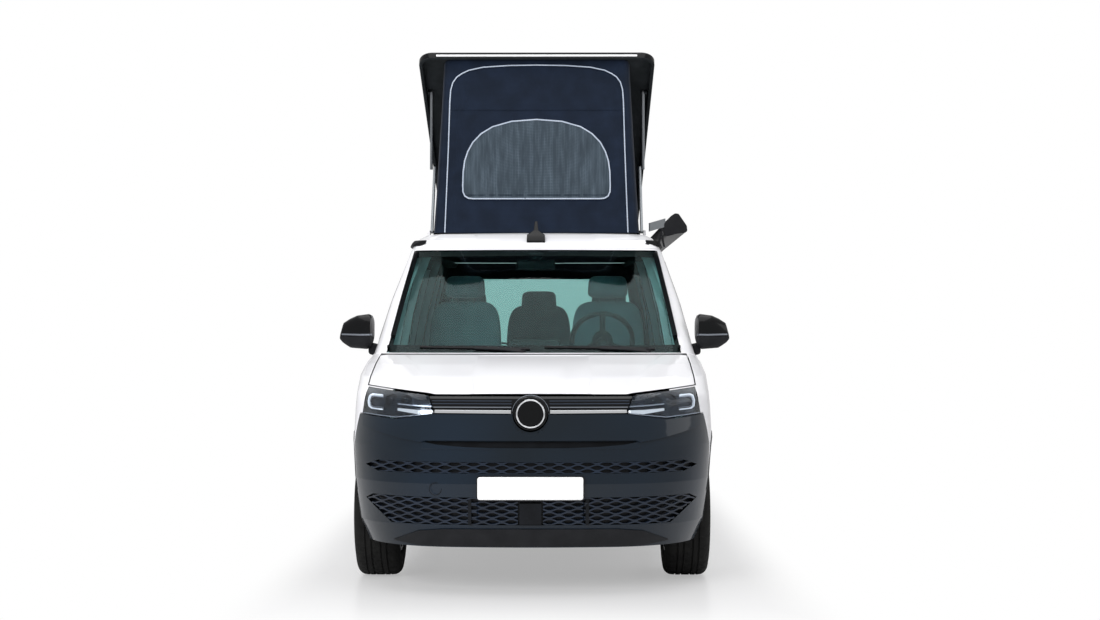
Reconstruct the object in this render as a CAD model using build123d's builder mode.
from build123d import *
import os
from math import atan, atan2, cos, degrees, hypot, radians, sin, sqrt, tan

os.makedirs("parts", exist_ok=True)

# Driving dimensions, in millimetres. The van faces -Y, its left side is +X and the ground is z = 0.
# A distance along the van is given as d, behind its foremost point, and turned to Y by at(d).
LENGTH = 5173.0
BODY_WIDTH = 1941.0
WHEELBASE = 3124.0
FRONT_OVERHANG = 930.0
TRACK = 1640.0
PANEL_THICKNESS = 60.0
PANEL_DROP = 42.0
GLASS_THICKNESS = 5.0
GLASS_SET = 4.0
SHUT_GAP = 6.0
POST_DEPTH = 45.0
TRIM_STAND = 16.0
POST_TOP_Z = 1808.0
HINGE_POST_TOP_Z = 1060.0
SEAT_GAP = 0.3

TYRE_RADIUS = 345.0
TYRE_WIDTH = 235.0
RIM_RADIUS = 216.0
SPOKE_COUNT = 10
SPOKE_MIDDLE_RADIUS = 130.0
ARCH_RADIUS = TYRE_RADIUS + 52
STUB_RADIUS = 28.0

SILL_BOTTOM_Z = 260.0
SILL_TOP_Z = 395.0
FLOOR_Z = 545.0
FLOOR_THICKNESS = 60.0
JACK_PAD = 10.0
JACK_HALF_WIDTH = 24.0
BELT_Z = 990.0
DROP_RUN = 90.0
COWL_Z = 1192.0
HEADER_Z = 1816.0
ROOF_TOP_Z = 1938.0
ROOF_SEAM_Z = 1830.0

DOOR_FRONT_D = 1300.0
DOOR_REAR_D = 2440.0
SLIDER_REAR_D = 3612.0
FIREWALL_D = 1270.0
JACK_DS = (DOOR_FRONT_D + 120, SLIDER_REAR_D - 112)

HATCH_HALF_WIDTH = 600.0
HATCH_FRONT_D = 2560.0
HATCH_REAR_D = LENGTH - 393
RAIL_RUN = (2290.0, LENGTH - 303)
RAIL_LOW_Z = 1848.0
RAIL_HIGH_Z = 1884.0
LID_HINGE_D = LENGTH - 293
LID_HINGE_Z = 1959.0
LID_FRONT_D = 2335.0
LID_REAR_D = LID_HINGE_D + 8
LID_HALF_WIDTH = 756.0
LID_TOP_Z = 1992.0
LID_SKIRT_Z = 1944.0
LID_SKIN = 17.0
LID_RIM_RADIUS = 14.0
LID_OPEN_DEG = 26.0
LID_HINGE_XS = (-520.0, 520.0)
LID_PIN_RADIUS = 5.0

NOSE_Y = -LENGTH / 2
TAIL_Y = LENGTH / 2
HALF_WIDTH = BODY_WIDTH / 2
SILL_INNER_X = HALF_WIDTH - 190.5
SILL_OUTER_X = SILL_INNER_X + 117
JACK_X = SILL_INNER_X + 30
WHEEL_X = TRACK / 2
STEER_ARCH_DEPTH = WHEEL_X - 330
REAR_ARCH_DEPTH = WHEEL_X - 180
KINGPIN_X = WHEEL_X - 80
STUB_RUN = (WHEEL_X - 70, WHEEL_X - 20)
STRUT_X = KINGPIN_X - 150
RAIL_INNER_X = KINGPIN_X - 340
RAIL_OUTER_X = RAIL_INNER_X + 80
KNUCKLE_LOW_Z = TYRE_RADIUS - 108
KNUCKLE_HIGH_Z = TYRE_RADIUS + 125
FRONT_AXLE_D = FRONT_OVERHANG
REAR_AXLE_D = FRONT_OVERHANG + WHEELBASE

# Body levels: height, nose setback, nose taper, corner radius, taper run, side tuck, tail setback
LEVELS = [
    (240.0, 100.0, 100.0, 520.0, 900.0, 70.0, 95.0),
    (350.0, 40.0, 100.0, 580.0, 910.0, 30.0, 25.0),
    (560.0, 12.0, 100.0, 590.0, 920.0, 8.0, 2.0),
    (740.0, 32.0, 95.0, 580.0, 905.0, 0.0, 0.0),
    (900.0, 65.0, 90.0, 540.0, 880.0, 8.0, 15.0),
    (950.0, 82.0, 87.0, 505.0, 868.0, 12.0, 19.0),
    (978.0, 96.0, 86.0, 488.0, 862.0, 14.0, 21.0),
    (BELT_Z, 114.0, 85.0, 478.0, 855.0, 15.0, 22.0),
    (1002.0, 140.0, 84.0, 468.0, 835.0, 16.0, 23.0),
    (1080.0, 430.0, 75.0, 400.0, 620.0, 22.0, 28.0),
    (1140.0, 760.0, 60.0, 320.0, 500.0, 32.0, 32.0),
    (COWL_Z, 1150.0, 45.0, 200.0, 420.0, 45.0, 36.0),
    (1500.0, 1632.0, 35.0, 160.0, 420.0, 100.0, 58.0),
    (HEADER_Z, 2130.0, 25.0, 130.0, 400.0, 180.0, 85.0),
    (1862.0, 2208.0, 25.0, 130.0, 400.0, 197.0, 105.0),
    (1902.0, 2290.0, 25.0, 130.0, 400.0, 225.0, 140.0),
    (1927.0, 2372.0, 25.0, 130.0, 400.0, 265.0, 185.0),
    (ROOF_TOP_Z, 2480.0, 25.0, 130.0, 400.0, 312.0, 240.0),
]
NOSE_SAG = 95.0
NOSE_BOW_RADIUS = 2800.0
TAIL_SAG = 35.0
TAIL_CORNER_RADIUS = 150.0
TAIL_BOW_RADIUS = 5000.0
TAIL_TAPER = 30.0
TAIL_TAPER_RUN = 900.0
BOW_SHARE = 0.85
CORNER_ROOM = 5.0


def at(d):
    """Y of a place that lies d behind the foremost point."""
    return NOSE_Y + d


def bow_rise(radius, sag, chord):
    """How far a rounded apex falls short of its corner point."""
    return radius * (1 / cos(atan(sag / chord)) - 1)


def bow_radius(radius, sag, chord):
    """The radius of a bow, smaller where half the body's width leaves no room for it."""
    return min(radius, BOW_SHARE * chord ** 2 / sag)


def corner_beside(radius, bow, sag, chord, taper, run):
    """The radius of a corner, smaller where the bow beside it leaves no room for it."""
    turn = atan2(run - sag, taper) - atan(sag / chord)
    room = hypot(chord, sag) - bow * sag / chord - CORNER_ROOM
    return min(radius, room / tan(turn / 2))


def plan_outline(level, inset, drop):
    """The body's outline at one level, moved in by inset and, above the belt, down by up to drop."""
    z, nose, taper, corner, run, tuck, tail = level
    half = HALF_WIDTH - tuck - inset
    chord, tail_chord = half - taper, half - TAIL_TAPER
    nose_bow = bow_radius(NOSE_BOW_RADIUS, NOSE_SAG, chord)
    tail_bow = bow_radius(TAIL_BOW_RADIUS, TAIL_SAG, tail_chord)
    corner_radius = corner_beside(corner - inset, nose_bow, NOSE_SAG, chord, taper, run)
    tail_radius = corner_beside(TAIL_CORNER_RADIUS - inset, tail_bow, TAIL_SAG, tail_chord, TAIL_TAPER,
                                TAIL_TAPER_RUN)
    front_y = at(nose + inset) - bow_rise(nose_bow, NOSE_SAG, chord)
    rear_y = TAIL_Y - tail - inset + bow_rise(tail_bow, TAIL_SAG, tail_chord)
    points = [
        (0, front_y),
        (chord, front_y + NOSE_SAG),
        (half, front_y + run),
        (half, rear_y - TAIL_TAPER_RUN),
        (tail_chord, rear_y - TAIL_SAG),
        (0, rear_y),
    ]
    radii = [nose_bow, corner_radius, 800.0, 3000.0, tail_radius, tail_bow]
    mirrored = [(-x, y) for x, y in points[-2:0:-1]]
    share = min(max((z - BELT_Z) / DROP_RUN, 0.0), 1.0)
    with BuildSketch(Plane.XY.offset(z - drop * share)) as outline:
        with BuildLine():
            FilletPolyline(*points, *mirrored, radius=radii + radii[-2:0:-1], close=True)
        make_face()
    return outline.sketch


def hull(inset=0.0, drop=0.0):
    """The body's outer form as one solid, or a smaller one inside it."""
    with BuildPart() as solid:
        loft([plan_outline(level, inset, drop) for level in LEVELS], ruled=True)
    return solid.part


def prism(plane, points, length, grow=0.0):
    """Solid with a straight-sided outline, its edge moved out by grow."""
    with BuildPart() as solid:
        with BuildSketch(plane):
            with BuildLine():
                Polyline(*points, close=True)
            make_face()
            if grow:
                offset(amount=grow, kind=Kind.INTERSECTION)
        extrude(amount=length)
    return solid.part


def side_prism(points, x_from, x_to, grow=0.0):
    """Outline in side view, as (d, z), between two planes across the van."""
    return prism(Plane.YZ.offset(x_from), [(at(d), z) for d, z in points], x_to - x_from, grow)


def front_prism(points, d_from, d_to, grow=0.0):
    """Outline in front view, as (x, z), between two places along the van."""
    return prism(Plane.XZ.offset(-at(d_to)), points, d_to - d_from, grow)


def top_prism(points, z_from, z_to, grow=0.0):
    """Outline in plan, as (x, d), between two heights."""
    return prism(Plane.XY.offset(z_from), [(x, at(d)) for x, d in points], z_to - z_from, grow)


def block(x_from, x_to, d_from, d_to, z_from, z_to):
    """Plain block between two corners."""
    with BuildPart() as solid:
        with Locations(((x_from + x_to) / 2, at((d_from + d_to) / 2), (z_from + z_to) / 2)):
            Box(x_to - x_from, d_to - d_from, z_to - z_from)
    return solid.part


def rod(x_from, x_to, d, z, radius):
    """Round bar across the van."""
    with BuildPart() as solid:
        with BuildSketch(Plane.YZ.offset(x_from)):
            with Locations((at(d), z)):
                Circle(radius)
        extrude(amount=x_to - x_from)
    return solid.part


def both_sides(points):
    """An outline drawn on the left of the middle, closed by its mirror image."""
    return points + [(-x, z) for x, z in reversed(points)]


def finish(builder, name):
    """Names a finished piece and writes its file."""
    builder.part.label = name
    export_step(builder.part, f"parts/{name}.step")
    print(name, len(builder.part.solids()), round(builder.part.volume / 1e6, 1))


# Where the panels meet, in side view as (d, z) or in front view as (x, z)
DOOR_OUTLINE = [
    (DOOR_FRONT_D, SILL_TOP_Z), (DOOR_REAR_D, SILL_TOP_Z), (DOOR_REAR_D, 1800),
    (2330, 1800), (1465, 1205), (DOOR_FRONT_D, 1130),
]
DOOR_WINDOW = [(1650, 1130), (2372, 1122), (2372, 1745), (2340, 1745), (1650, 1275)]
DOOR_QUARTER = [(1435, 1132), (1590, 1130), (1590, 1232)]
SLIDER_OUTLINE = [
    (DOOR_REAR_D, SILL_TOP_Z), (SLIDER_REAR_D, SILL_TOP_Z), (SLIDER_REAR_D, 1800), (DOOR_REAR_D, 1800),
]
SLIDER_WINDOW = [(2515, 1120), (3540, 1112), (3540, 1745), (2515, 1745)]
QUARTER_WINDOW = [(3690, 1110), (LENGTH - 343, 1150), (LENGTH - 373, 1735), (3690, 1745)]
WINDSCREEN = both_sides([(828, 1196), (738, HEADER_Z)])
TAILGATE = both_sides([(840, 640), (850, 1000), (800, 1500), (722, 1850)])
REAR_WINDOW = both_sides([(760, 1180), (672, 1740)])
HEADLIGHT = [(514, 998), (846, 1032), (869, 894), (678, 878), (479, 905)]
LIGHT_BAR = both_sides([(477, 905), (511, 992)])
BUMPER_TOP = both_sides([(479, 905), (678, 878), (869, 894), (1000, 897)])
BUMPER_FRONT = BUMPER_TOP[:4] + [(1000, 200), (-1000, 200)] + BUMPER_TOP[4:]
BUMPER_SIDE = [(-60, 200), (640, 200), (640, 560), (585, 640), (425, 897), (425, 960), (-60, 960)]
BONNET_FRONT = both_sides([(480, 996), (514, 1002), (846, 1036), (870, 1045), (870, COWL_Z - 3)])
BONNET_PLAN = [(845, 150), (858, 1215), (430, 1150), (-430, 1150), (-858, 1215), (-845, 150)]
REAR_BUMPER = [
    (SLIDER_REAR_D, 200), (LENGTH + 60, 200), (LENGTH + 60, 640),
    (REAR_AXLE_D + 366, 600), (REAR_AXLE_D + 326, 480),
]
UPPER_GRILLE = [(-843, 640), (-770, 612), (770, 612), (843, 640), (770, 668), (-770, 668)]
LOWER_GRILLE = [(-843, 470), (-700, 357), (700, 357), (843, 470), (800, 494), (-800, 494)]
AIR_SLIT = [(-535, 753), (-520, 737), (520, 737), (535, 753), (520, 769), (-520, 769)]
RADAR_WIDTH = 108.0
UPRIGHT_XS = (-300.0, 280.0)
MESH_SET = 22.0
MESH_THICKNESS = 12.0
HANDLE_Z = 1040.0
HANDLE_X = HALF_WIDTH - 19.5
HANDLE_LENGTH = 210.0
FRONT_HANDLE_D = DOOR_REAR_D - 150.0
SLIDER_HANDLE_D = DOOR_REAR_D + 150.0
SLIDER_RAIL = [
    (SLIDER_REAR_D + 30, 1028), (LENGTH - 413, 1034), (LENGTH - 413, 1056), (SLIDER_REAR_D + 30, 1052),
]
BADGE_Z = 905.0
PLATE_THICKNESS = 8.0
RADIATOR_D = 200.0
SUBFRAME_TOP_Z = 300.0
STRUT_TOP_Z = 865.0
AXLE_TUBE_RADIUS = 45.0
ENGINE_RIGHT_X = -RAIL_INNER_X + 20
ENGINE_LEFT_X = RAIL_INNER_X - 70
BADGE_RADIUS = 72.0
BADGE_RING_RADIUS = 87.0

LAMP_OUTLINE = [(560, 1050), (990, 1050), (990, 1165), (560, 1130)]
LAMP_FRONT_D = LENGTH - 243
LAMP_DEPTH = 40.0
DASH_HALF_WIDTH = SILL_INNER_X - 0.5
COLUMN_X = 400.0
WHEEL_RING_RADIUS = 180.0
SEAT_X = 450.0
FIN_REAR_D = LID_FRONT_D - 9
FIN_TOP_Z = 2003.0
FIN_FOOT_HALF_WIDTH = 60.0
AWNING_FRONT_D = 2300.0
AWNING_REAR_D = LENGTH - 273
AWNING_BRACKET_DS = (AWNING_FRONT_D + 40, (AWNING_FRONT_D + AWNING_REAR_D) / 2, AWNING_REAR_D - 200)
TENT_FRONT_D = 2462.0
TENT_REAR_D = LENGTH - 373
TENT_HALF_WIDTH = 655.0
TENT_LEAN = 178.0
TENT_TAPER = 55.0
TENT_TOP_Z = 3062.0
TENT_WALL = 10.0
ARM_LENGTH = 500.0
ARM_HEIGHT = 22.0
ARM_WIDTH = 18.0
ARM_INNER_X = 664.0
ARM_PIN_RADIUS = 6.0
ARM_GAP = 4.0
ARM_Z = LID_HINGE_Z
ARM_FOOT = (2700.0, ARM_Z)
ARM_HEAD_REACH = LID_HINGE_D - ARM_FOOT[0] - 50
LID_OPEN = radians(LID_OPEN_DEG)
ARM_HEAD = (LID_HINGE_D - ARM_HEAD_REACH * cos(LID_OPEN), ARM_Z + ARM_HEAD_REACH * sin(LID_OPEN))
ARM_SPAN = (ARM_HEAD[0] - ARM_FOOT[0], ARM_HEAD[1] - ARM_FOOT[1])
ARM_REACH = hypot(*ARM_SPAN)
ARM_BOW = sqrt(ARM_LENGTH ** 2 - (ARM_REACH / 2) ** 2) / ARM_REACH
ARM_ELBOW = (ARM_FOOT[0] + ARM_SPAN[0] / 2 + ARM_BOW * ARM_SPAN[1],
             ARM_FOOT[1] + ARM_SPAN[1] / 2 - ARM_BOW * ARM_SPAN[0])

# The body's wall, and the same wall with its openings
outer_form = hull()
inner_form = hull(PANEL_THICKNESS, PANEL_DROP)
trim_form = hull(-TRIM_STAND, -TRIM_STAND / 2)
glass_outer = hull(GLASS_SET, GLASS_SET * 0.6)
glass_inner = hull(GLASS_SET + GLASS_THICKNESS * 1.1, GLASS_SET * 0.6 + GLASS_THICKNESS)
wall = outer_form - inner_form
pane = glass_outer - glass_inner

front_zone = block(-1000, 1000, -60, DOOR_FRONT_D + 120, 200, COWL_Z + 8)
nose_wall = wall & front_zone
arches = [
    rod(x_from, x_to, d, TYRE_RADIUS, ARCH_RADIUS)
    for x_from, x_to, d in [
        (STEER_ARCH_DEPTH, 1100, FRONT_AXLE_D), (-1100, -STEER_ARCH_DEPTH, FRONT_AXLE_D),
        (REAR_ARCH_DEPTH, 1100, REAR_AXLE_D), (-1100, -REAR_ARCH_DEPTH, REAR_AXLE_D),
    ]
]

# Front bumper: the dark moulding across the nose, open at its grilles
with BuildPart() as front_bumper:
    add(nose_wall)
    add(front_prism(BUMPER_FRONT, -60, 700, grow=-SHUT_GAP / 2), mode=Mode.INTERSECT)
    add(side_prism(BUMPER_SIDE, -1000, 1000, grow=-SHUT_GAP / 2), mode=Mode.INTERSECT)
    for opening in (UPPER_GRILLE, LOWER_GRILLE, AIR_SLIT):
        add(front_prism(opening, -60, 400), mode=Mode.SUBTRACT)
    with BuildSketch(Plane.XZ.offset(-at(200))):
        with Locations((0, BADGE_Z)):
            Circle(BADGE_RING_RADIUS + SHUT_GAP / 2)
    extrude(amount=260, mode=Mode.SUBTRACT)
    add(block(-262, 262, PLATE_THICKNESS + SEAT_GAP, 60, 496, 600))
    for arch in arches[:2]:
        add(arch, mode=Mode.SUBTRACT)
finish(front_bumper, "front_bumper")

# Grilles: flat mesh plates a little behind the bumper's face
with BuildPart() as bumper_grilles:
    add(hull(MESH_SET) - hull(MESH_SET + MESH_THICKNESS))
    upper_opening = front_prism(UPPER_GRILLE, -60, 400, grow=-SEAT_GAP)
    lower_opening = front_prism(LOWER_GRILLE, -60, 400, grow=-SEAT_GAP)
    add(upper_opening + lower_opening, mode=Mode.INTERSECT)
    add(block(-RADAR_WIDTH / 2, RADAR_WIDTH / 2, 26, 62, 361, 465))
    for x in UPRIGHT_XS:
        add(block(x - 8, x + 8, 40, 70, 360, 492))
finish(bumper_grilles, "bumper_grilles")

# Light bar with the round blank badge in its middle
with BuildPart() as light_bar:
    add(nose_wall)
    add(front_prism(LIGHT_BAR, -60, 300, grow=-SHUT_GAP / 2), mode=Mode.INTERSECT)
    with BuildSketch(Plane.XZ.offset(-at(RADIATOR_D - SEAT_GAP))):
        with Locations((0, BADGE_Z)):
            Circle(BADGE_RADIUS)
    extrude(amount=RADIATOR_D - SEAT_GAP - 52)
finish(light_bar, "light_bar")

# Headlights, left and right of the light bar
with BuildPart() as headlights:
    add(nose_wall)
    with BuildPart(mode=Mode.PRIVATE) as lamp_outlines:
        add(front_prism(HEADLIGHT, -60, 620, grow=-SHUT_GAP / 2))
        mirror(about=Plane.YZ)
    add(lamp_outlines.part, mode=Mode.INTERSECT)
finish(headlights, "headlights")

# Bonnet: spans the nose between the headlights and the cowl
with BuildPart() as bonnet:
    add(nose_wall)
    add(front_prism(BONNET_FRONT, -60, 1400, grow=-SHUT_GAP / 2), mode=Mode.INTERSECT)
    add(top_prism(BONNET_PLAN, 900, 1300, grow=-SHUT_GAP / 2), mode=Mode.INTERSECT)
finish(bonnet, "bonnet")

# Front fenders: the white sides of the nose, round the steered wheels' arches
with BuildPart() as front_fenders:
    add(nose_wall)
    add(block(-1000, 1000, -60, DOOR_FRONT_D - SHUT_GAP / 2, 200, COWL_Z), mode=Mode.INTERSECT)
    add(block(-700, 700, -60, 1400, 200, 1300), mode=Mode.SUBTRACT)
    bumper_side_cut = side_prism(BUMPER_SIDE, -1000, 1000, grow=SHUT_GAP / 2)
    bumper_front_cut = front_prism(BUMPER_FRONT, -60, 700, grow=SHUT_GAP / 2)
    add(bumper_side_cut & bumper_front_cut, mode=Mode.SUBTRACT)
    add(lamp_outlines.part, mode=Mode.SUBTRACT)
    bonnet_front_cut = front_prism(BONNET_FRONT, -60, 1400, grow=SHUT_GAP / 2)
    add(bonnet_front_cut & top_prism(BONNET_PLAN, 900, 1300, grow=SHUT_GAP / 2), mode=Mode.SUBTRACT)
    add(top_prism(both_sides([(430, 1150), (858, 1215), (858, 1500)]), 1000, 1300), mode=Mode.SUBTRACT)
    for arch in arches[:2]:
        add(arch, mode=Mode.SUBTRACT)
finish(front_fenders, "front_fenders")

# Cowl panel between bonnet and windscreen
with BuildPart() as cowl_panel:
    add(nose_wall)
    add(top_prism([(857.7, 1215), (430, 1150), (-430, 1150), (-857.7, 1215), (-857.7, 1420), (857.7, 1420)],
                  1080, 1300, grow=-SHUT_GAP / 2), mode=Mode.INTERSECT)
    add(block(-1000, 1000, 1000, DOOR_FRONT_D - SHUT_GAP / 2, 1000, COWL_Z), mode=Mode.INTERSECT)
finish(cowl_panel, "cowl_panel")

# Windscreen
with BuildPart() as windscreen:
    add(pane)
    add(front_prism(WINDSCREEN, 1000, 2600, grow=-SEAT_GAP), mode=Mode.INTERSECT)
finish(windscreen, "windscreen")

# Inner posts and roof rail that the doors close on, one skin inside the wall
cabin_side = hull(PANEL_THICKNESS + POST_DEPTH, PANEL_DROP + 25)
post_layer = hull(PANEL_THICKNESS + SEAT_GAP, PANEL_DROP) - cabin_side
rail_layer = hull(PANEL_THICKNESS - 20, PANEL_DROP - 15) - cabin_side
POSTS = [
    (DOOR_FRONT_D - 5, DOOR_FRONT_D + 75, HINGE_POST_TOP_Z),
    (DOOR_REAR_D - 50, DOOR_REAR_D + 60, POST_TOP_Z),
    (SLIDER_REAR_D - 50, SLIDER_REAR_D + 40, POST_TOP_Z),
]
with BuildPart() as posts:
    add(post_layer)
    with BuildPart(mode=Mode.PRIVATE) as post_regions:
        for d_from, d_to, top in POSTS:
            add(block(400, 1000, d_from, d_to, SILL_BOTTOM_Z + 5, top))
    add(post_regions.part, mode=Mode.INTERSECT)
with BuildPart() as rails:
    add(rail_layer)
    add(block(400, 1000, DOOR_REAR_D - 100, LENGTH - 400, 1803, ROOF_SEAM_Z), mode=Mode.INTERSECT)

# Sides: each is one frame from the windscreen pillar to the tail, with its sill
SILL_RUN = (DOOR_FRONT_D + 10, REAR_AXLE_D - ARCH_RADIUS - 10)
lamp_prism = front_prism(LAMP_OUTLINE, LAMP_FRONT_D, LENGTH + 60)
with BuildPart() as side_frame_left:
    add(wall)
    add(side_prism([(1000, COWL_Z), (DOOR_FRONT_D, COWL_Z), (DOOR_FRONT_D, 200), (LENGTH + 60, 200),
                    (LENGTH + 60, ROOF_SEAM_Z), (1000, ROOF_SEAM_Z)], 0, 1000), mode=Mode.INTERSECT)
    add(side_prism(DOOR_OUTLINE, 0, 1000, grow=SHUT_GAP / 2), mode=Mode.SUBTRACT)
    add(side_prism(SLIDER_OUTLINE, 0, 1000, grow=SHUT_GAP / 2), mode=Mode.SUBTRACT)
    add(side_prism(QUARTER_WINDOW, 0, 1000), mode=Mode.SUBTRACT)
    add(side_prism(REAR_BUMPER, 0, 1000), mode=Mode.SUBTRACT)
    add(front_prism(WINDSCREEN, 1000, 2600), mode=Mode.SUBTRACT)
    add(front_prism(TAILGATE, LENGTH - 373, LENGTH + 60, grow=SHUT_GAP / 2), mode=Mode.SUBTRACT)
    add(lamp_prism, mode=Mode.SUBTRACT)
    add(side_prism(SLIDER_RAIL, HANDLE_X - 24, 1000), mode=Mode.SUBTRACT)
    add(posts.part)
    add(rails.part)
    add(block(SILL_INNER_X, SILL_OUTER_X, *SILL_RUN, SILL_BOTTOM_Z, SILL_TOP_Z - SHUT_GAP))
    add(block(SILL_INNER_X, SILL_INNER_X + 40, *SILL_RUN, SILL_TOP_Z - SHUT_GAP, FLOOR_Z))
    for d in JACK_DS:
        add(block(JACK_X - JACK_HALF_WIDTH, JACK_X + JACK_HALF_WIDTH, d - 45, d + 45,
                  SILL_BOTTOM_Z - JACK_PAD, SILL_BOTTOM_Z + 5))
    add(arches[0], mode=Mode.SUBTRACT)
    add(arches[2], mode=Mode.SUBTRACT)
finish(side_frame_left, "side_frame_left")
with BuildPart() as side_frame_right:
    mirror(side_frame_left.part, about=Plane.YZ)
finish(side_frame_right, "side_frame_right")

# Rails along the roof's edges, a low moulding that follows the shoulder
with BuildPart() as roof_rails:
    add(trim_form - hull(PANEL_THICKNESS / 2, PANEL_DROP / 2))
    rail_left = block(500, 1000, *RAIL_RUN, RAIL_LOW_Z, RAIL_HIGH_Z)
    rail_right = block(-1000, -500, *RAIL_RUN, RAIL_LOW_Z, RAIL_HIGH_Z)
    add(rail_left + rail_right, mode=Mode.INTERSECT)

# Roof frame: brow, shoulders and rear end, round the hatch of the raised roof
with BuildPart() as roof_frame:
    add(wall)
    add(block(-1000, 1000, 1500, LENGTH, ROOF_SEAM_Z, ROOF_TOP_Z + 10), mode=Mode.INTERSECT)
    add(front_prism(WINDSCREEN, 1000, 2600), mode=Mode.SUBTRACT)
    add(front_prism(TAILGATE, LENGTH - 373, LENGTH + 60, grow=SHUT_GAP / 2), mode=Mode.SUBTRACT)
    add(block(-HATCH_HALF_WIDTH, HATCH_HALF_WIDTH, HATCH_FRONT_D, HATCH_REAR_D, ROOF_SEAM_Z - 10,
              ROOF_TOP_Z + 20), mode=Mode.SUBTRACT)
    for side in (1, -1):
        near, far = sorted((side * (ARM_INNER_X + ARM_WIDTH + 1), side * (ARM_INNER_X + ARM_WIDTH + 17)))
        add(block(near, far, ARM_FOOT[0] - 20, ARM_FOOT[0] + 20, ROOF_TOP_Z - 20, ARM_Z + 9))
        near, far = sorted((side * (ARM_INNER_X + 1), side * (ARM_INNER_X + ARM_WIDTH + 2)))
        add(rod(near, far, ARM_FOOT[0], ARM_Z, ARM_PIN_RADIUS))
    add(roof_rails.part)
    for x in LID_HINGE_XS:
        add(block(x - 18, x + 18, LID_HINGE_D - 8, LID_HINGE_D + 8, ROOF_TOP_Z - 20, LID_HINGE_Z))
        add(rod(x - 18, x + 18, LID_HINGE_D, LID_HINGE_Z, 8))
        add(rod(x - 34, x + 34, LID_HINGE_D, LID_HINGE_Z, LID_PIN_RADIUS))
finish(roof_frame, "roof_frame")

# Door handles: a recess behind a bar that is joined to the panel at both ends
def handle_outline(d, length, height):
    """Side view of a handle or of its recess, centred at d on the handle line."""
    half_length, half_height = length / 2, height / 2
    return [(d - half_length, HANDLE_Z - half_height), (d + half_length, HANDLE_Z - half_height),
            (d + half_length, HANDLE_Z + half_height), (d - half_length, HANDLE_Z + half_height)]


def handle_parts(d, sides):
    """The recesses to cut and the bars to add, on each side that is listed as 1 for left or -1 for right."""
    recesses, bars = [], []
    for side in sides:
        near, far = sorted((side * (HANDLE_X - 22), side * (HANDLE_X + 49)))
        recesses.append(side_prism(handle_outline(d, HANDLE_LENGTH - 24, 52), near, far))
        near, far = sorted((side * (HANDLE_X - 10), side * (HANDLE_X + 12)))
        bars.append(side_prism(handle_outline(d, HANDLE_LENGTH, 24), near, far))
    return recesses, bars


# Front doors, their glass and mirrors
MIRROR_D = 1560.0
MIRROR_INNER_X = HALF_WIDTH - 47.5
MIRROR_WIDTH = 203.0
DOOR_SWING_GAP = 11.0
with BuildPart() as front_door:
    add(wall)
    add(side_prism(DOOR_OUTLINE, 300, 1000, grow=-SHUT_GAP / 2), mode=Mode.INTERSECT)
    add(block(300, 1000, DOOR_REAR_D - DOOR_SWING_GAP, DOOR_REAR_D + 10, 300, 1900), mode=Mode.SUBTRACT)
    add(side_prism(DOOR_WINDOW, 300, 1000), mode=Mode.SUBTRACT)
    add(side_prism(DOOR_QUARTER, 300, 1000), mode=Mode.SUBTRACT)
    recesses, bars = handle_parts(FRONT_HANDLE_D, (1,))
    add(recesses[0], mode=Mode.SUBTRACT)
    add(bars[0])
with BuildPart() as door_glass:
    add(pane)
    window_pane = side_prism(DOOR_WINDOW, 300, 1000, grow=-SEAT_GAP)
    quarter_pane = side_prism(DOOR_QUARTER, 300, 1000, grow=-SEAT_GAP)
    add(window_pane + quarter_pane, mode=Mode.INTERSECT)
with BuildPart() as door_mirror:
    with BuildSketch(Plane.YZ.offset(MIRROR_INNER_X)):
        with Locations((at(MIRROR_D), 1308)):
            RectangleRounded(150, 200, 60)
    extrude(amount=MIRROR_WIDTH)
    fillet(edges().group_by(Axis.X)[-1], 48)
    fillet(edges().group_by(Axis.X)[0], 25)
    add(block(MIRROR_INNER_X - 33, MIRROR_INNER_X + 90, MIRROR_D + 12, MIRROR_D + 60, 1190, 1222))
    add(block(MIRROR_INNER_X - 33, MIRROR_INNER_X + 12, MIRROR_D + 42, MIRROR_D + 80, 1150, 1222))
    add(outer_form, mode=Mode.SUBTRACT)
for piece, name in ((front_door, "front_door"), (door_glass, "door_glass"), (door_mirror, "door_mirror")):
    finish(piece, f"{name}_left")
    with BuildPart() as other_side:
        mirror(piece.part, about=Plane.YZ)
    finish(other_side, f"{name}_right")

# Sliding doors and the fixed side glass
with BuildPart() as sliding_doors:
    add(wall)
    slider_right = side_prism(SLIDER_OUTLINE, -1000, -300, grow=-SHUT_GAP / 2)
    slider_left = side_prism(SLIDER_OUTLINE, 300, 1000, grow=-SHUT_GAP / 2)
    add(slider_right + slider_left, mode=Mode.INTERSECT)
    add(side_prism(SLIDER_WINDOW, -1000, 1000), mode=Mode.SUBTRACT)
    recesses, bars = handle_parts(SLIDER_HANDLE_D, (1, -1))
    for recess in recesses:
        add(recess, mode=Mode.SUBTRACT)
    for bar in bars:
        add(bar)
finish(sliding_doors, "sliding_doors")
with BuildPart() as side_windows:
    add(pane)
    slider_panes = side_prism(SLIDER_WINDOW, -1000, 1000, grow=-SEAT_GAP)
    quarter_panes = side_prism(QUARTER_WINDOW, -1000, 1000, grow=-SEAT_GAP)
    add(slider_panes + quarter_panes, mode=Mode.INTERSECT)
    add(block(-400, 400, 2400, LENGTH - 273, 1100, 1800), mode=Mode.SUBTRACT)
finish(side_windows, "side_windows")

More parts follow.
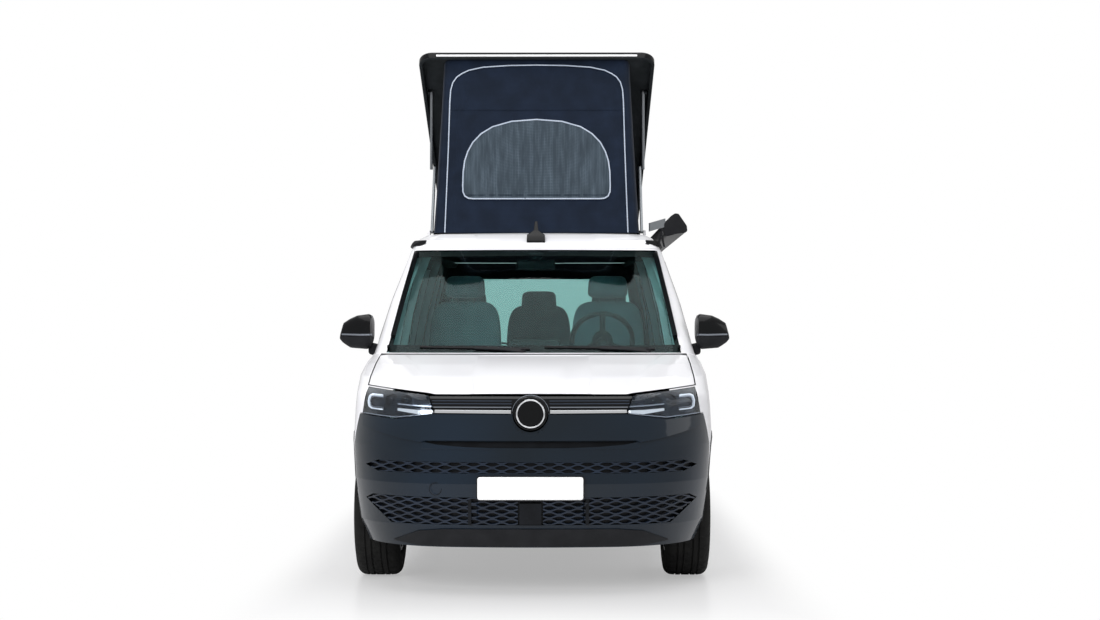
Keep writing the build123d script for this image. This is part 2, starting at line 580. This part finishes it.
# Tail: bumper, tailgate with its glass, lamps
with BuildPart() as rear_bumper:
    add(wall)
    add(side_prism(REAR_BUMPER, -1000, 1000, grow=-SEAT_GAP), mode=Mode.INTERSECT)
    add(block(-1000, 1000, SLIDER_REAR_D, REAR_AXLE_D, 100, 700), mode=Mode.SUBTRACT)
    add(front_prism(TAILGATE, LENGTH - 373, LENGTH + 60, grow=SHUT_GAP / 2), mode=Mode.SUBTRACT)
    for arch in arches[2:]:
        add(arch, mode=Mode.SUBTRACT)
finish(rear_bumper, "rear_bumper")
with BuildPart() as tailgate:
    add(wall)
    add(front_prism(TAILGATE, LENGTH - 373, LENGTH + 60, grow=-SHUT_GAP / 2), mode=Mode.INTERSECT)
    add(front_prism(REAR_WINDOW, LENGTH - 373, LENGTH + 60), mode=Mode.SUBTRACT)
    add(lamp_prism, mode=Mode.SUBTRACT)
    add(front_prism([(-x, z) for x, z in LAMP_OUTLINE], LAMP_FRONT_D, LENGTH + 60), mode=Mode.SUBTRACT)
    add(block(-275, 275, LENGTH - 28, LENGTH + 10, 745, 887), mode=Mode.SUBTRACT)
finish(tailgate, "tailgate")
with BuildPart() as tailgate_glass:
    add(pane)
    add(front_prism(REAR_WINDOW, LENGTH - 373, LENGTH + 60, grow=-SEAT_GAP), mode=Mode.INTERSECT)
finish(tailgate_glass, "tailgate_glass")

# Tail lamps: outer halves on the body's corners, inner halves on the tailgate
with BuildPart() as lamp_pair:
    add(outer_form - hull(LAMP_DEPTH, LAMP_DEPTH / 2))
    with BuildPart(mode=Mode.PRIVATE) as lamp_cut:
        add(front_prism(LAMP_OUTLINE, LAMP_FRONT_D + SEAT_GAP, LENGTH + 60, grow=-SEAT_GAP))
        mirror(about=Plane.YZ)
    add(lamp_cut.part, mode=Mode.INTERSECT)
with BuildPart() as tail_lights:
    add(lamp_pair.part)
    add(front_prism(TAILGATE, LENGTH - 373, LENGTH + 60, grow=SHUT_GAP / 2), mode=Mode.SUBTRACT)
finish(tail_lights, "tail_lights")
with BuildPart() as tailgate_lights:
    add(lamp_pair.part)
    add(front_prism(TAILGATE, LENGTH - 373, LENGTH + 60, grow=-SHUT_GAP / 2), mode=Mode.INTERSECT)
finish(tailgate_lights, "tailgate_lights")

# Floor pan, bulkhead and dashboard
with BuildPart() as floor_pan:
    add(top_prism(both_sides([(SILL_INNER_X, FIREWALL_D), (SILL_INNER_X, LENGTH - 313), (600, LENGTH - 105)]),
                  FLOOR_Z - FLOOR_THICKNESS, FLOOR_Z))
    for arch in arches:
        add(arch, mode=Mode.SUBTRACT)
    for side in (1, -1):
        near, far = sorted((side * (REAR_ARCH_DEPTH - 40), side * 880))
        with BuildPart(mode=Mode.PRIVATE) as wheelhouse:
            add(rod(near, far, REAR_AXLE_D, TYRE_RADIUS, ARCH_RADIUS + 25))
            near, far = sorted((side * REAR_ARCH_DEPTH, side * 900))
            add(rod(near, far, REAR_AXLE_D, TYRE_RADIUS, ARCH_RADIUS), mode=Mode.SUBTRACT)
            add(block(-1000, 1000, 3000, LENGTH, -200, FLOOR_Z - 5), mode=Mode.SUBTRACT)
        add(wheelhouse.part)
finish(floor_pan, "floor_pan")

with BuildPart() as bulkhead:
    add(block(-DASH_HALF_WIDTH, DASH_HALF_WIDTH, FIREWALL_D, FIREWALL_D + 25, FLOOR_Z, 1120))
    add(block(-500, 500, RADIATOR_D, RADIATOR_D + 35, 300, 977))
    add(block(-420, 420, RADIATOR_D + 30, RADIATOR_D + 50, 330, 820), mode=Mode.SUBTRACT)
    with BuildPart(mode=Mode.PRIVATE) as crash_beam:
        add(block(-560, 560, 40, RADIATOR_D + 5, 500, 590))
        add(hull(PANEL_THICKNESS + SEAT_GAP, PANEL_DROP), mode=Mode.INTERSECT)
    add(crash_beam.part)
    with BuildPart(mode=Mode.PRIVATE) as bonnet_stops:
        for x in (-440, 440):
            add(block(x - 12, x + 12, 300, 324, 640, 1150))
        add(hull(PANEL_THICKNESS + 0.5, PANEL_DROP + SEAT_GAP), mode=Mode.INTERSECT)
    add(bonnet_stops.part)
    for x_from, x_to in ((-RAIL_INNER_X - 10, ENGINE_RIGHT_X - SEAT_GAP),
                         (ENGINE_LEFT_X + SEAT_GAP, RAIL_INNER_X + 10)):
        add(block(x_from, x_to, 640, 720, 580, 640))
    for side in (1, -1):
        near, far = sorted((side * RAIL_INNER_X, side * RAIL_OUTER_X))
        add(block(near, far, 230, FIREWALL_D + 10, 560, 660))
        add(block(near, far, 880, 980, 655, 829.7))
finish(bulkhead, "bulkhead")

WHEEL_PLANE = Plane(origin=(COLUMN_X, at(1890), 1262), x_dir=(1, 0, 0),
                    z_dir=(0, sin(radians(62)), cos(radians(62))))
with BuildPart() as dashboard:
    with BuildSketch(Plane.YZ.offset(-DASH_HALF_WIDTH)):
        with BuildLine():
            Polyline((at(1295.3), 1090), (at(1420), 1150), (at(1600), 1175), (at(1720), 1120), (at(1700), 990),
                     (at(1560), 900), (at(1295.3), 880), close=True)
        make_face()
    extrude(amount=2 * DASH_HALF_WIDTH)
    add(block(-120, 120, 1560, 1660, FLOOR_Z, 1000))
    add(block(-150, 150, 1655, 1675, 1130, 1265))
    add(block(COLUMN_X - 130, COLUMN_X + 130, 1590, 1700, 1120, 1212))
    with BuildSketch(WHEEL_PLANE.offset(-290)):
        Circle(30)
    extrude(amount=290 - 40 - SEAT_GAP)
finish(dashboard, "dashboard")

# Steering wheel on the left, on its raked column
with BuildPart() as steering_wheel:
    with BuildSketch(Plane(WHEEL_PLANE.origin + WHEEL_PLANE.x_dir * WHEEL_RING_RADIUS, x_dir=WHEEL_PLANE.x_dir,
                           z_dir=WHEEL_PLANE.y_dir)):
        Circle(15)
    revolve(axis=Axis(WHEEL_PLANE.origin, WHEEL_PLANE.z_dir))
    with BuildSketch(WHEEL_PLANE.offset(-14)):
        Circle(62)
        with PolarLocations(WHEEL_RING_RADIUS / 2, 3, start_angle=-90):
            Rectangle(WHEEL_RING_RADIUS - 20, 34)
    extrude(amount=24)
    with BuildSketch(WHEEL_PLANE.offset(-40)):
        Circle(34)
    extrude(amount=30)
finish(steering_wheel, "steering_wheel")

# Seats: a cushion, a leaning back and a headrest on one base
def seat(x, d, width, base_width):
    """One seat of the cabin, in side view from its base to its headrest."""
    with BuildPart() as solid:
        with BuildSketch(Plane.YZ.offset(x - width / 2)):
            with BuildLine():
                Polyline((at(d), 800), (at(d - 20), 900), (at(d + 20), 925), (at(d + 420), 890),
                         (at(d + 540), 1500), (at(d + 620), 1500), (at(d + 560), 860), (at(d + 530), 800),
                         close=True)
            make_face()
        extrude(amount=width)
        add(block(x - 130, x + 130, d + 535, d + 625, 1495, 1520))
        add(block(x - 135, x + 135, d + 525, d + 635, 1520, 1670))
        if base_width:
            add(block(x - base_width / 2, x + base_width / 2, d + 40, d + 480, FLOOR_Z, 800))
    return solid.part


with BuildPart() as front_seats:
    for x in (SEAT_X, -SEAT_X):
        add(seat(x, 1960, 500, 420))
finish(front_seats, "front_seats")
with BuildPart() as rear_bench:
    for x in (-500, 0, 500):
        add(seat(x, 3450, 498, 0))
    add(block(-590, 590, 3500, 3950, FLOOR_Z, 801))
    add(block(-749, 749, 3800, 3950, 780, 801))
finish(rear_bench, "rear_bench")

# Antenna fin on the brow, ahead of the closed lid
with BuildPart() as antenna_fin:
    with BuildSketch(Plane.YZ.offset(-FIN_FOOT_HALF_WIDTH)):
        with BuildLine():
            Polyline((at(FIN_REAR_D - 125), 1800), (at(FIN_REAR_D - 112), 1885), (at(FIN_REAR_D - 60), 1940),
                     (at(FIN_REAR_D - 20), FIN_TOP_Z), (at(FIN_REAR_D - 8), FIN_TOP_Z),
                     (at(FIN_REAR_D), 1880), (at(FIN_REAR_D), 1800), close=True)
        make_face()
    extrude(amount=2 * FIN_FOOT_HALF_WIDTH)
    with BuildPart(mode=Mode.PRIVATE) as fin_front_view:
        add(front_prism(both_sides([(FIN_FOOT_HALF_WIDTH, 1790), (FIN_FOOT_HALF_WIDTH - 5, 1915), (14, 1945),
                                    (8, FIN_TOP_Z + 5)]), FIN_REAR_D - 200, FIN_REAR_D + 10))
    add(fin_front_view.part, mode=Mode.INTERSECT)
    add(outer_form, mode=Mode.SUBTRACT)
finish(antenna_fin, "antenna_fin")

# Awning in its case along the left of the roof, on brackets
with BuildPart() as awning_case:
    with BuildSketch(Plane.XZ.offset(-at(AWNING_REAR_D))):
        with Locations((862, 1980)):
            RectangleRounded(150, 140, 40)
    extrude(amount=AWNING_REAR_D - AWNING_FRONT_D)
finish(awning_case, "awning_case")
with BuildPart() as awning_brackets:
    for d in AWNING_BRACKET_DS:
        add(block(764, 786.7, d, d + 60, RAIL_HIGH_Z + SEAT_GAP, 2020))
        add(block(764, 840, d, d + 60, RAIL_HIGH_Z + SEAT_GAP, 1909.7))
    add(outer_form, mode=Mode.SUBTRACT)
finish(awning_brackets, "awning_brackets")

# Wipers lying on the foot of the windscreen
wiper_bed = hull(GLASS_SET - 0.4, GLASS_SET * 0.6 - 0.3)
with BuildPart() as wipers:
    for x_from, x_to in ((-640, -20), (60, 680)):
        with BuildPart(mode=Mode.PRIVATE) as strip:
            add(trim_form - wiper_bed)
            add(front_prism([(x_from, 1222), (x_to, 1212), (x_to, 1230), (x_from, 1240)], 1150, 1500),
                mode=Mode.INTERSECT)
        add(strip.part)
finish(wipers, "wipers")

# Drive unit, front subframe with its arms and struts, rear axle, exhaust and tank under the floor
with BuildPart() as engine_block:
    add(block(ENGINE_RIGHT_X, ENGINE_LEFT_X, 420, 1000, 330, 850))
finish(engine_block, "engine_block")
with BuildPart() as front_subframe:
    add(block(-RAIL_INNER_X, RAIL_INNER_X, 700, 1180, KNUCKLE_LOW_Z - 2, SUBFRAME_TOP_Z))
    for side in (1, -1):
        arm_inner, arm_outer = side * (RAIL_INNER_X - 100), side * (KINGPIN_X - 5)
        with BuildSketch(Plane.XY.offset(KNUCKLE_LOW_Z - 32)):
            with BuildLine():
                Polyline((arm_inner, at(760)), (arm_outer, at(905)), (arm_outer, at(955)),
                         (arm_inner, at(1120)), close=True)
            make_face()
        extrude(amount=32)
        near, far = sorted((side * (STRUT_X - 50), arm_outer))
        add(block(near, far, 905, 955, KNUCKLE_HIGH_Z, KNUCKLE_HIGH_Z + 25))
        with BuildSketch(Plane.XY.offset(KNUCKLE_LOW_Z - 12)):
            with Locations((side * STRUT_X, at(FRONT_AXLE_D))):
                Circle(40)
        extrude(amount=STRUT_TOP_Z - KNUCKLE_LOW_Z + 12)
        near, far = sorted((side * RAIL_INNER_X, side * (STRUT_X + 50)))
        add(block(near, far, 880, 980, 830, 870))
finish(front_subframe, "front_subframe")
with BuildPart() as rear_axle:
    add(rod(-WHEEL_X + 120, WHEEL_X - 120, REAR_AXLE_D, TYRE_RADIUS, AXLE_TUBE_RADIUS))
    for side in (1, -1):
        near, far = sorted((side * (WHEEL_X - 180), side * (WHEEL_X - 120)))
        add(rod(near, far, REAR_AXLE_D, TYRE_RADIUS, 2 * AXLE_TUBE_RADIUS))
        near, far = sorted((side * (WHEEL_X - 130), side * (WHEEL_X - 30)))
        add(rod(near, far, REAR_AXLE_D, TYRE_RADIUS, STUB_RADIUS))
        near, far = sorted((side * (WHEEL_X - 300), side * (WHEEL_X - 220)))
        add(block(near, far, REAR_AXLE_D - 560, REAR_AXLE_D, TYRE_RADIUS - AXLE_TUBE_RADIUS,
                  TYRE_RADIUS + AXLE_TUBE_RADIUS))
        with BuildSketch(Plane.XY.offset(TYRE_RADIUS - 5)):
            with Locations((side * (WHEEL_X - 260), at(REAR_AXLE_D + 20))):
                Circle(45)
        extrude(amount=FLOOR_Z - FLOOR_THICKNESS - TYRE_RADIUS + 5)
finish(rear_axle, "rear_axle")
with BuildPart() as underbody:
    add(block(-450, 450, 1700, 3200, 290, FLOOR_Z - FLOOR_THICKNESS))
    add(block(-700, -520, 1450, 3400, 400, FLOOR_Z - FLOOR_THICKNESS))
    add(block(520, 700, 1450, 3400, 400, FLOOR_Z - FLOOR_THICKNESS))
    add(block(-460, 460, REAR_AXLE_D + 426, LENGTH - 273, 290, FLOOR_Z - FLOOR_THICKNESS))
finish(underbody, "underbody")

# Knuckles, each with its stub axle, turning about an upright pin
for side, word in ((1, "left"), (-1, "right")):
    with BuildPart() as knuckle:
        near, far = sorted((side * (KINGPIN_X - 18), side * (KINGPIN_X + 18)))
        add(block(near, far, 890, 970, KNUCKLE_LOW_Z + SEAT_GAP, KNUCKLE_HIGH_Z - SEAT_GAP))
        near, far = sorted((side * STUB_RUN[0], side * STUB_RUN[1]))
        add(rod(near, far, FRONT_AXLE_D, TYRE_RADIUS, STUB_RADIUS))
    finish(knuckle, f"knuckle_{word}")

# Wheels: tyre and rim, turned about the axle
for word, side, d in (("front_left", 1, FRONT_AXLE_D), ("front_right", -1, FRONT_AXLE_D),
                      ("rear_left", 1, REAR_AXLE_D), ("rear_right", -1, REAR_AXLE_D)):
    axle = Axis((0, at(d), TYRE_RADIUS), (1, 0, 0))
    wheel_section = Plane(origin=(side * WHEEL_X, at(d), TYRE_RADIUS), x_dir=(side, 0, 0), z_dir=(0, -side, 0))
    with BuildPart() as tyre:
        with BuildSketch(wheel_section):
            with BuildLine():
                half = TYRE_WIDTH / 2
                bead, bulge, shoulder = RIM_RADIUS + SEAT_GAP, TYRE_RADIUS - 55, TYRE_RADIUS - 20
                inside = TYRE_RADIUS - 27
                Polyline((-half + 12, bead), (-half, bulge), (-half + 8, shoulder), (-half + 26, TYRE_RADIUS),
                         (half - 26, TYRE_RADIUS), (half - 8, shoulder), (half, bulge), (half - 12, bead),
                         (half - 20, bead), (half - 14, bulge), (half - 24, inside), (-half + 24, inside),
                         (-half + 14, bulge), (-half + 20, bead), close=True)
            make_face()
        revolve(axis=axle)
    finish(tyre, f"tyre_{word}")
    with BuildPart() as rim:
        with BuildSketch(wheel_section):
            with BuildLine():
                half = TYRE_WIDTH / 2 - 8
                bore = STUB_RADIUS + SEAT_GAP
                Polyline((-half, 196), (-half, RIM_RADIUS), (half, RIM_RADIUS), (half, 190), (half - 24, 185),
                         (half - 18, 70), (half - 26, 0), (-18, 0), (-18, bore), (-50, bore), (-50, 75),
                         (-40, 75), (-40, 150), (-20, 150), (-20, 75), (half - 60, 80), (half - 50, 190),
                         (half - 70, 203), (-half + 10, 206), (-half + 10, 196), close=True)
            make_face()
        revolve(axis=axle)
        with BuildSketch(Plane(origin=(side * (WHEEL_X + 40), at(d), TYRE_RADIUS), x_dir=(0, 1, 0),
                               z_dir=(side, 0, 0))):
            with PolarLocations(SPOKE_MIDDLE_RADIUS, SPOKE_COUNT):
                Polygon((-44, -9), (44, -27), (44, 27), (-44, 9))
            fillet(vertices(), 6)
        extrude(amount=80, mode=Mode.SUBTRACT)
    finish(rim, f"rim_{word}")

# Raised roof: a shallow shell hinged at its rear, drawn closed and then turned open
LID_SWING = Axis((0, at(LID_HINGE_D), LID_HINGE_Z), (1, 0, 0))
with BuildPart() as roof_lid:
    with BuildSketch(Plane.XY.offset(LID_SKIRT_Z)):
        with BuildLine():
            FilletPolyline((-LID_HALF_WIDTH, at(LID_FRONT_D)), (LID_HALF_WIDTH, at(LID_FRONT_D)),
                           (LID_HALF_WIDTH - 30, at(LID_REAR_D)), (-LID_HALF_WIDTH + 30, at(LID_REAR_D)),
                           radius=[90, 90, 40, 40], close=True)
        make_face()
    extrude(amount=LID_TOP_Z - LID_SKIRT_Z)
    fillet(edges().group_by(Axis.Z)[-1], LID_RIM_RADIUS)
    with BuildSketch(Plane.XY.offset(LID_SKIRT_Z)):
        with BuildLine():
            front_x, rear_x = LID_HALF_WIDTH - 22, LID_HALF_WIDTH - 52
            FilletPolyline((-front_x, at(LID_FRONT_D + 22)), (front_x, at(LID_FRONT_D + 22)),
                           (rear_x, at(LID_REAR_D - 30)), (-rear_x, at(LID_REAR_D - 30)),
                           radius=[68, 68, 30, 30], close=True)
        make_face()
    extrude(amount=LID_TOP_Z - LID_SKIN - LID_SKIRT_Z, mode=Mode.SUBTRACT)
    for x in LID_HINGE_XS:
        add(block(x - 20, x + 20, LID_HINGE_D - 30, LID_HINGE_D + 20, LID_SKIRT_Z - 1, LID_HINGE_Z + 16),
            mode=Mode.SUBTRACT)
        add(rod(x - 35, x + 35, LID_HINGE_D, LID_HINGE_Z, LID_PIN_RADIUS + SEAT_GAP), mode=Mode.SUBTRACT)
    with BuildPart(mode=Mode.PRIVATE) as head_lug:
        lug_x = ARM_INNER_X + 2 * ARM_WIDTH + ARM_GAP + 1
        add(block(lug_x, lug_x + 14, LID_HINGE_D - ARM_HEAD_REACH - 14, LID_HINGE_D - ARM_HEAD_REACH + 14,
                  ARM_Z - 10, LID_TOP_Z - 5))
        add(rod(lug_x - ARM_WIDTH, lug_x, LID_HINGE_D - ARM_HEAD_REACH, ARM_Z, ARM_PIN_RADIUS))
        mirror(about=Plane.YZ)
    add(head_lug.part)
roof_lid.part = roof_lid.part.rotate(LID_SWING, -LID_OPEN_DEG)
finish(roof_lid, "roof_lid")

# Folding arms of the raised roof; the two bars of a pair are one piece on each side
def arm_bars(start, end, pinned, x_inner):
    """Flat bars with rounded ends between two pivots given as (d, z), holed for the pin at one of them."""
    with BuildPart() as bars:
        with BuildSketch(Plane.YZ.offset(x_inner)):
            with Locations((at((start[0] + end[0]) / 2), (start[1] + end[1]) / 2)):
                SlotCenterToCenter(hypot(end[0] - start[0], end[1] - start[1]), ARM_HEIGHT,
                                   rotation=degrees(atan2(end[1] - start[1], end[0] - start[0])))
            with Locations((at(pinned[0]), pinned[1])):
                Circle(ARM_PIN_RADIUS + SEAT_GAP, mode=Mode.SUBTRACT)
        extrude(amount=ARM_WIDTH)
        mirror(about=Plane.YZ)
    return bars.part


with BuildPart() as lower_roof_arms:
    add(arm_bars(ARM_FOOT, ARM_ELBOW, ARM_FOOT, ARM_INNER_X))
finish(lower_roof_arms, "lower_roof_arms")
with BuildPart() as upper_roof_arms:
    add(arm_bars(ARM_HEAD, ARM_ELBOW, ARM_HEAD, ARM_INNER_X + ARM_WIDTH + ARM_GAP))
finish(upper_roof_arms, "upper_roof_arms")

# Tent: the fabric walls between roof and raised lid, open above and below
def tent_form(inset, low, high):
    """The tent's volume, moved in by inset and cut between the roof and the lid."""
    slope = tan(LID_OPEN)
    front = TENT_FRONT_D + inset
    lean = TENT_LEAN + inset * slope
    rear_z = TENT_TOP_Z - (TENT_REAR_D - TENT_FRONT_D - TENT_LEAN) * slope
    top_z = TENT_TOP_Z - inset * slope
    with BuildPart() as solid:
        add(side_prism([(front, ROOF_TOP_Z + low), (front + lean, top_z + high),
                        (TENT_REAR_D + high, rear_z + high), (TENT_REAR_D + high, ROOF_TOP_Z + low)], -800, 800))
        add(front_prism(both_sides([(TENT_HALF_WIDTH - inset, ROOF_TOP_Z + low),
                                    (TENT_HALF_WIDTH - TENT_TAPER - inset, TENT_TOP_Z + high)]), 2000, LENGTH),
            mode=Mode.INTERSECT)
    return solid.part


with BuildPart() as roof_tent:
    add(tent_form(0, 0.5, 0))
    add(tent_form(TENT_WALL, -20, 30), mode=Mode.SUBTRACT)
finish(roof_tent, "roof_tent")

# Number plates, blank
with BuildPart() as front_plate:
    add(block(-260, 260, 0, PLATE_THICKNESS, 485, 597))
finish(front_plate, "front_plate")
with BuildPart() as rear_plate:
    add(block(-260, 260, LENGTH - 27.7, LENGTH - 20, 760, 872))
finish(rear_plate, "rear_plate")
